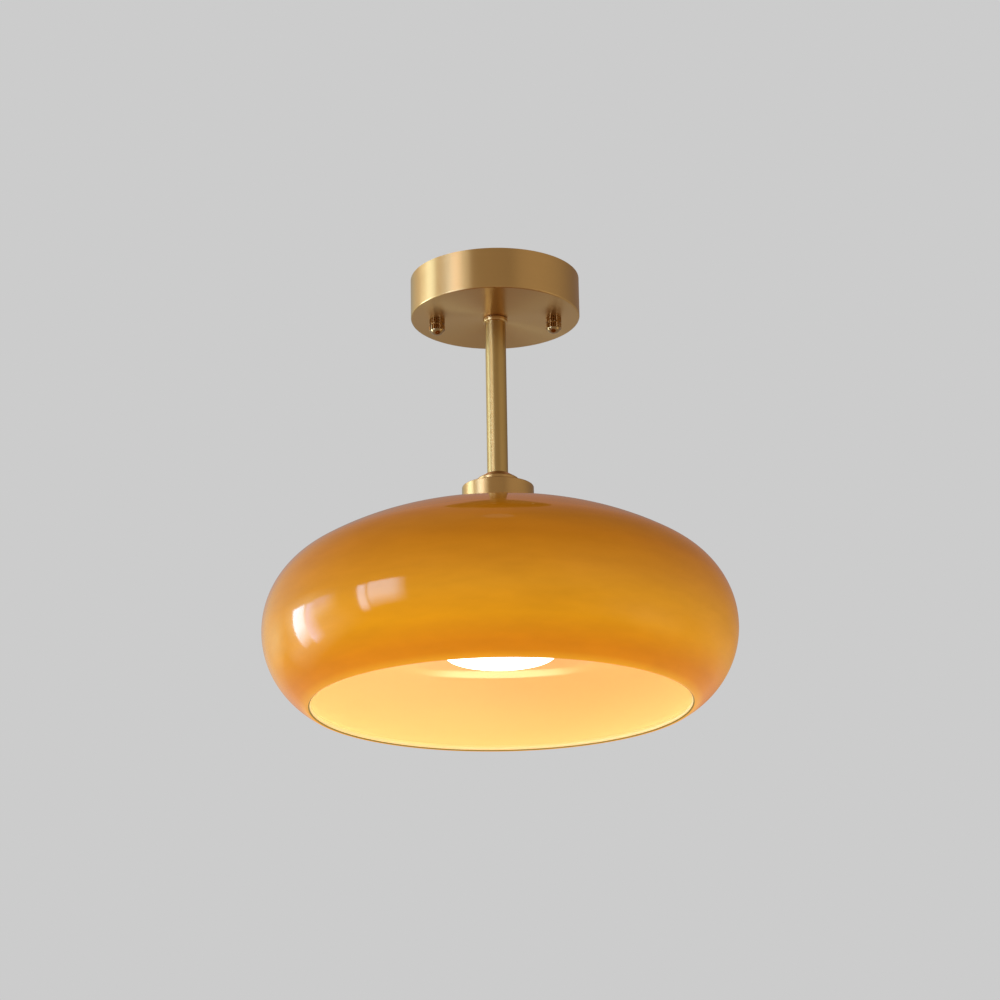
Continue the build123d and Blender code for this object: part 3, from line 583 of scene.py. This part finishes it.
class LIGHT_OT_shade(bpy.types.Operator):
    """Spins the glass shade and gives it amber outside and opal inside."""

    bl_idname = "ceiling_light.shade"
    bl_label = "Glass shade"

    def execute(self, context):
        shade = context.scene.shade_settings
        outer, inner, lip = shade_walls(shade)
        mesh, bands = spun_mesh("glass_wall", outer + lip + inner[::-1], GLASS_TURNS)
        for face in mesh.polygons:
            band = face.index // GLASS_TURNS
            past_outer = band - len(outer)
            # These bands of the lip's round get the painted shade.
            if past_outer in SHADED_EDGE_BANDS:
                face.material_index = SHADED_EDGE_SLOT
            elif SHADED_EDGE_BANDS.stop <= past_outer < len(lip):
                face.material_index = LIP_SLOT
            elif SHADED_EDGE_BANDS.stop <= past_outer and band < bands - 1:
                face.material_index = LINING_SLOT
        mesh.materials.append(amber_glass(shade))
        mesh.materials.append(opal_lining("opal_lining", shade, roughness=0.09))
        # Painted shade and a little painted glow along the lip's edge.
        mesh.materials.append(shaded_lip_edge())
        mesh.materials.append(opal_lining("opal_lip", shade, roughness=0.4))
        piece = add_object("glass_wall", mesh)
        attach(piece, "shade")
        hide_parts("glass_shade")
        return {"FINISHED"}


class LIGHT_OT_brass(bpy.types.Operator):
    """Gives the canopy, stem, neck, holder cap and nuts their brass."""

    bl_idname = "ceiling_light.brass"
    bl_label = "Brass"

    def execute(self, context):
        brass = context.scene.brass_settings
        body, stem, nut = rgb(brass.body_colour), rgb(brass.stem_colour), rgb(brass.nut_colour)
        satin = brass.roughness
        dress(satin_brass("canopy_brass", body, satin, line_depth=0.00003), "canopy")
        turned = satin_brass("cap_brass", body, satin, line_depth=0.00006)
        dress(turned, "holder_cap", "stem_neck", "stem_collar")
        dress(satin_brass("stem_brass", stem, satin, line_depth=0.00001, drawn=True), "stem")
        dress(plain_metal("nut_brass", nut, roughness=0.16), "cap_nut_left", "cap_nut_right")
        return {"FINISHED"}


class LIGHT_OT_fixings(bpy.types.Operator):
    """Gives the bracket, studs, nipples, nuts, screws and contacts their plated metal."""

    bl_idname = "ceiling_light.fixings"
    bl_label = "Bracket and fixings"

    def execute(self, context):
        dress(
            plain_metal("zinc_plate", (0.6, 0.6, 0.57), roughness=0.38),
            "ceiling_bracket", "bracket_studs", "stud_lock_nuts", "stem_lock_nut",
            "stem_lock_washer", "upper_nipple", "lower_nipple", "earth_screw", "holder_screws",
            "terminal_screws",
        )
        dress(
            plain_metal("contact_brass", (0.7, 0.5, 0.2), roughness=0.3),
            "earth_tag", "terminal_tubes", "live_terminal", "neutral_terminal", "socket_shell",
            "centre_contact",
        )
        return {"FINISHED"}


class LIGHT_OT_holder(bpy.types.Operator):
    """Gives the lampholder, shade ring, gaskets and terminal block their plastics and ceramic."""

    bl_idname = "ceiling_light.holder"
    bl_label = "Lampholder"

    def execute(self, context):
        dress(
            moulded("holder_plastic", (0.86, 0.84, 0.79), roughness=0.4),
            "lampholder_dome", "lampholder_skirt", "shade_ring",
        )
        dress(moulded("block_plastic", (0.8, 0.79, 0.72), roughness=0.45), "terminal_block")
        ceramic = moulded(
            "holder_ceramic", (0.84, 0.81, 0.74), roughness=0.6, pores=900.0, depth=0.0001,
            shade=0.84,
        )
        dress(ceramic, "ceramic_block")
        rubber = moulded("gasket_rubber", (0.7, 0.69, 0.66), roughness=0.5, pores=1500.0)
        dress(rubber, "upper_gasket", "lower_gasket", "terminal_pad")
        return {"FINISHED"}


class LIGHT_OT_wiring(bpy.types.Operator):
    """Gives the three wires their coloured insulation."""

    bl_idname = "ceiling_light.wiring"
    bl_label = "Wiring"

    def execute(self, context):
        dress(moulded("live_insulation", (0.2, 0.075, 0.028), roughness=0.35), "live_wire")
        dress(moulded("neutral_insulation", (0.03, 0.12, 0.42), roughness=0.35), "neutral_wire")
        finish = new_finish("earth_insulation")
        skin = finish.grain(finish.here(), scale=1800.0, detail=2.0)
        stripe = finish.between(finish.place("X"), -0.00012, 0.00012)
        finish.surface(
            Base_Color=finish.blend((0.05, 0.3, 0.04), (0.78, 0.6, 0.03), stripe),
            Roughness=0.3 + 0.1 * skin,
            Normal=finish.bump(skin, distance=0.00004, strength=0.4),
        )
        dress(finish.owner, "earth_wire")
        return {"FINISHED"}


class LIGHT_OT_lamp(bpy.types.Operator):
    """Gives the lamp its white body, lit face, plated cap and boards."""

    bl_idname = "ceiling_light.lamp"
    bl_label = "Lamp"

    def execute(self, context):
        lamp = context.scene.lamp_settings
        dress(moulded("lamp_body", (0.82, 0.81, 0.78), roughness=0.32), "bulb_body")
        cap = plain_metal("lamp_cap", (0.66, 0.66, 0.64), roughness=0.3)
        dress(cap, "bulb_cap", "bulb_contact")
        dress(moulded("lamp_black", (0.02, 0.02, 0.022), roughness=0.2), "bulb_insulator")
        board = moulded("board_white", (0.72, 0.73, 0.72), roughness=0.4, pores=1200.0)
        dress(board, "led_board", "driver_board")
        dress(moulded("board_parts", (0.03, 0.03, 0.033), roughness=0.45), "driver_parts")
        dress(moulded("led_phosphor", (0.86, 0.6, 0.08), roughness=0.3), "led_chips")
        finish = new_finish("lit_face")
        frost = finish.grain(finish.here(), scale=900.0, detail=2.0)
        finish.surface(
            Base_Color=finish.blend((0.86, 0.85, 0.82), (0.9, 0.89, 0.87), frost),
            Roughness=0.45 + 0.1 * frost,
            Emission_Color=rgb(lamp.glow_colour),
            Emission_Strength=lamp.glow_strength,
            Normal=finish.bump(frost, distance=0.00005, strength=0.3),
        )
        dress(finish.owner, "bulb_diffuser")
        return {"FINISHED"}


def facing(azimuth, elevation, distance):
    """A place and turn that look at the shade, azimuth in degrees from the camera's side."""
    turn, rise = math.radians(azimuth), math.radians(elevation)
    away = Vector(
        (math.sin(turn) * math.cos(rise), -math.cos(turn) * math.cos(rise), math.sin(rise))
    )
    middle = Vector((0.0, 0.0, STUDIO_LEVEL))
    return middle + distance * away, away.to_track_quat("Z", "Y").to_euler()


def soft_light(name, azimuth, elevation, size, radiance, tint, mirrors=None):
    """A rectangular light that no mirror shows, or that one group of mirrors alone shows."""
    light = bpy.data.lights.new(name, "AREA")
    light.shape = "RECTANGLE"
    light.size, light.size_y = size
    light.color = tint
    light.energy = radiance * math.pi * size[0] * size[1]
    made = add_object(name, light)
    made.location, made.rotation_euler = facing(azimuth, elevation, LIGHT_DISTANCE)
    made.visible_camera = False
    made.visible_diffuse = mirrors is None
    made.visible_glossy = mirrors is not None
    made.light_linking.receiver_collection = mirrors


def mirrored_only(made):
    """Leaves a stage object to reflections alone."""
    made.visible_camera = False
    made.visible_diffuse = False
    made.visible_transmission = False
    made.visible_shadow = False


def pane(
    name, azimuth, elevation, size, radiance, soft, lean=0.0, tint=WINDOW_TINT, away=LIGHT_DISTANCE
):
    """A window that reflections see: soft gives its edges' fades as shares, lean moves its foot."""
    wide, high = size
    mesh = bpy.data.meshes.new(name)
    mesh.from_pydata(
        [
            (-wide / 2 - lean, -high / 2, 0.0),
            (wide / 2 - lean, -high / 2, 0.0),
            (wide / 2, high / 2, 0.0),
            (-wide / 2, high / 2, 0.0),
        ],
        [],
        [(0, 1, 2, 3)],
    )
    finish = new_finish(name)
    up = finish.place("Y") / high + 0.5
    across = (finish.place("X") + lean * (1.0 - up)) / wide + 0.5
    shown = 1.0
    for edge, fade in zip((across, 1.0 - across, up, 1.0 - up), soft):
        shown = shown * finish.between(edge, 0.0, fade)
    glow = finish.node("ShaderNodeEmission", {}, {"Color": tint, "Strength": radiance})
    mesh.materials.append(finish.veil(shown, glow))
    made = add_object(name, mesh)
    made.location, made.rotation_euler = facing(azimuth, elevation, away)
    mirrored_only(made)


def lay_floor(stage):
    """A round pale floor, a room's height below the ceiling plane."""
    mesh = bpy.data.meshes.new("floor")
    rim = arc_points((0.0, 0.0), FLOOR_RADIUS, 0.0, 2 * math.pi, FLOOR_SIDES)[:-1]
    mesh.from_pydata([(x, y, stage.floor_level) for x, y in rim], [], [range(FLOOR_SIDES)])
    finish = new_finish("pale_floor")
    dust = finish.grain(finish.here(), scale=3.0, detail=4.0)
    tone = rgb(stage.floor_colour)
    finish.surface(Base_Color=finish.blend(scaled(tone, 0.97), tone, dust), Roughness=0.8)
    mesh.materials.append(finish.owner)
    add_object("floor", mesh)


def studio_walls():
    """Thin walls that reflections see, with the backdrop showing through them."""
    profile = []
    for degrees in range(-14, 90, 4):
        rise = math.radians(degrees)
        height = STUDIO_LEVEL + WALL_DISTANCE * math.sin(rise)
        profile.append((WALL_DISTANCE * math.cos(rise), height))
    mesh, _ = spun_mesh("studio_walls", profile, turns=48, closed=False)
    finish = new_finish("studio_walls")
    towards_camera = 0.0 - finish.place("Y")
    turn = finish.node(
        "ShaderNodeMath", {"operation": "ARCTAN2"}, {0: finish.place("X"), 1: towards_camera}
    )
    round_share = turn / (2 * math.pi) + 0.5
    height = (finish.place("Z") - STUDIO_LEVEL) / WALL_DISTANCE
    walls = finish.graded(round_share, WALL_TONES)
    overhead = finish.graded(round_share, OVERHEAD_TONES)
    upper = finish.blend(walls, overhead, finish.between(height, 0.3, 0.8))
    tone = finish.blend(FOOT_TONE, upper, finish.between(height, -0.18, 0.12))
    glow = finish.node(
        "ShaderNodeBsdfPrincipled",
        {},
        {
            "Base Color": (0.0, 0.0, 0.0),
            "Specular IOR Level": 0.0,
            "Emission Color": tone,
            "Emission Strength": 1.0,
        },
    )
    mesh.materials.append(finish.veil(WALL_COVER, glow))
    finish.owner.cycles.emission_sampling = "NONE"
    mirrored_only(add_object("studio_walls", mesh))


def light_world(scene, stage):
    """The backdrop that the camera and mirrors see, and a soft fill for everything else."""
    world = bpy.data.worlds.new("studio")
    scene.world = world
    finish = Finish(world)
    seen = finish.node("ShaderNodeLightPath", output="Is Camera Ray")
    path = seen.socket.node
    mirrored = Flow(finish, path.outputs["Is Glossy Ray"])
    through = Flow(finish, path.outputs["Is Transmission Ray"])
    shown = (seen + mirrored + through) > 0.5
    grey = {"Color": rgb(stage.backdrop_colour), "Strength": 1.0}
    backdrop = finish.node("ShaderNodeBackground", {}, grey)
    fill = finish.node("ShaderNodeBackground", {}, {"Color": FILL_TINT, "Strength": stage.fill})
    mixed = finish.node("ShaderNodeMixShader", {}, {0: shown, 1: fill, 2: backdrop})
    finish.node("ShaderNodeOutputWorld", {}, {"Surface": mixed})


def hang_panes():
    """The windows that the glass mirrors, and the soft glows round and below them."""
    pane(
        "left_core", azimuth=-105.2, elevation=-6.0, size=(0.38, 1.05), radiance=26.0,
        soft=(0.06, 0.16, 0.5, 0.05), lean=0.14, tint=(0.33, 0.52, 0.78),
    )
    pane(
        "left_edge", azimuth=-94.6, elevation=-8.0, size=(0.36, 1.15), radiance=13.0,
        soft=(0.04, 0.8, 0.15, 0.05), lean=0.22,
    )
    pane(
        "left_tail", azimuth=-87.5, elevation=0.5, size=(0.55, 0.6), radiance=7.0,
        soft=(0.2, 0.5, 0.7, 0.1),
    )
    pane(
        "front_strip", azimuth=-65.0, elevation=-5.0, size=(0.165, 1.0), radiance=22.0,
        soft=(0.12, 0.04, 0.3, 0.05),
    )
    pane(
        "front_main", azimuth=-51.9, elevation=-3.5, size=(0.71, 0.95), radiance=19.0,
        soft=(0.02, 0.35, 0.5, 0.05),
    )
    pane(
        "left_halo", azimuth=-99.0, elevation=-1.0, size=(2.0, 1.5), radiance=5.5,
        soft=FADE_ALL_OVER, tint=(0.67, 1.0, 1.0), away=2.5,
    )
    pane(
        "left_low", azimuth=-100.0, elevation=-17.0, size=(2.9, 1.3), radiance=3.2,
        soft=FADE_ALL_OVER, tint=(0.75, 0.9, 1.0), away=2.4,
    )
    pane(
        "left_far", azimuth=-131.0, elevation=2.0, size=(1.3, 0.9), radiance=1.5,
        soft=FADE_ALL_OVER, tint=(0.75, 1.0, 0.85), away=2.4,
    )
    pane(
        "right_low", azimuth=75.0, elevation=-20.0, size=(2.6, 1.5), radiance=1.4,
        soft=(0.5, 0.5, 0.4, 0.5), tint=(1.0, 0.97, 0.8), away=2.4,
    )


def place_lights():
    """Tall lights that the brass alone mirrors, and soft daylight for the rest."""
    mirrors = bpy.data.collections.new("brass_mirrors")
    for name in BRASS_NODES:
        mirrors.objects.link(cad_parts[name])
    elevation, height = 16.0, 1.1
    for name, azimuth, width, radiance, tint in (
        ("brass_left", -94.5, 0.55, 3.5, (0.34, 0.6, 1.0)),
        ("brass_tail", -76.0, 0.35, 0.7, (0.45, 0.6, 1.0)),
        ("brass_front", -52.5, 0.4, 1.0, (1.0, 0.6, 0.25)),
        ("brass_end", -40.5, 0.5, 1.6, (0.54, 0.7, 1.0)),
    ):
        soft_light(name, azimuth, elevation, (width, height), radiance, tint, mirrors)
    size = (0.8, 0.8)
    soft_light("left_light", azimuth=-80.0, elevation=0.0, size=size, radiance=6.6, tint=DAYLIGHT)
    soft_light("front_light", azimuth=-40.0, elevation=25.0, size=size, radiance=3.0, tint=DAYLIGHT)
    soft_light("right_light", azimuth=50.0, elevation=-24.0, size=size, radiance=2.9, tint=DAYLIGHT)


def set_camera(scene, stage):
    """The photo's camera, in front of the light and below it."""
    data = bpy.data.cameras.new("photo_camera")
    data.sensor_width = SENSOR_WIDTH
    data.lens = stage.camera_lens
    data.shift_x = stage.camera_shift
    data.clip_start, data.clip_end = CLIP_START, CLIP_END
    camera = add_object("photo_camera", data)
    tilt = Matrix.Rotation(math.pi / 2 + stage.camera_tilt, 4, "X")
    look = tilt @ Matrix.Rotation(-stage.camera_roll, 4, "Z")
    camera.matrix_world = (
        Matrix.Translation((0.0, -stage.camera_back, stage.camera_level)) @ look
    )
    scene.camera = camera


class LIGHT_OT_stage(bpy.types.Operator):
    """Sets up the floor, walls, backdrop, windows, lights and camera."""

    bl_idname = "ceiling_light.stage"
    bl_label = "Stage"

    def execute(self, context):
        scene = context.scene
        stage = scene.stage_settings
        scene.view_settings.view_transform = "Standard"
        lay_floor(stage)
        studio_walls()
        light_world(scene, stage)
        hang_panes()
        place_lights()
        set_camera(scene, stage)
        return {"FINISHED"}


class LIGHT_PT_panel(bpy.types.Panel):
    """Lists the light's operators and settings in the sidebar."""

    bl_label = "Ceiling light"
    bl_idname = "LIGHT_PT_panel"
    bl_space_type = "VIEW_3D"
    bl_region_type = "UI"
    bl_category = "Ceiling light"

    def draw(self, context):
        for operator in OPERATORS:
            self.layout.operator(operator.bl_idname)
        for name, group in GROUPS.items():
            column = self.layout.column()
            for setting in group.__annotations__:
                column.prop(getattr(context.scene, name), setting)


GROUPS = {
    "shade_settings": ShadeSettings,
    "brass_settings": BrassSettings,
    "lamp_settings": LampSettings,
    "stage_settings": StageSettings,
}
OPERATORS = (
    LIGHT_OT_shade,
    LIGHT_OT_brass,
    LIGHT_OT_fixings,
    LIGHT_OT_holder,
    LIGHT_OT_wiring,
    LIGHT_OT_lamp,
    LIGHT_OT_stage,
)


def register():
    for kind in (*GROUPS.values(), *OPERATORS, LIGHT_PT_panel):
        bpy.utils.register_class(kind)
    for name, group in GROUPS.items():
        setattr(bpy.types.Scene, name, bpy.props.PointerProperty(type=group))


def unregister():
    for name in GROUPS:
        delattr(bpy.types.Scene, name)
    for kind in reversed((*GROUPS.values(), *OPERATORS, LIGHT_PT_panel)):
        bpy.utils.unregister_class(kind)


def main():
    register()
    bpy.ops.ceiling_light.shade()
    bpy.ops.ceiling_light.brass()
    bpy.ops.ceiling_light.fixings()
    bpy.ops.ceiling_light.holder()
    bpy.ops.ceiling_light.wiring()
    bpy.ops.ceiling_light.lamp()
    bpy.ops.ceiling_light.stage()


if __name__ == "__main__":
    main()
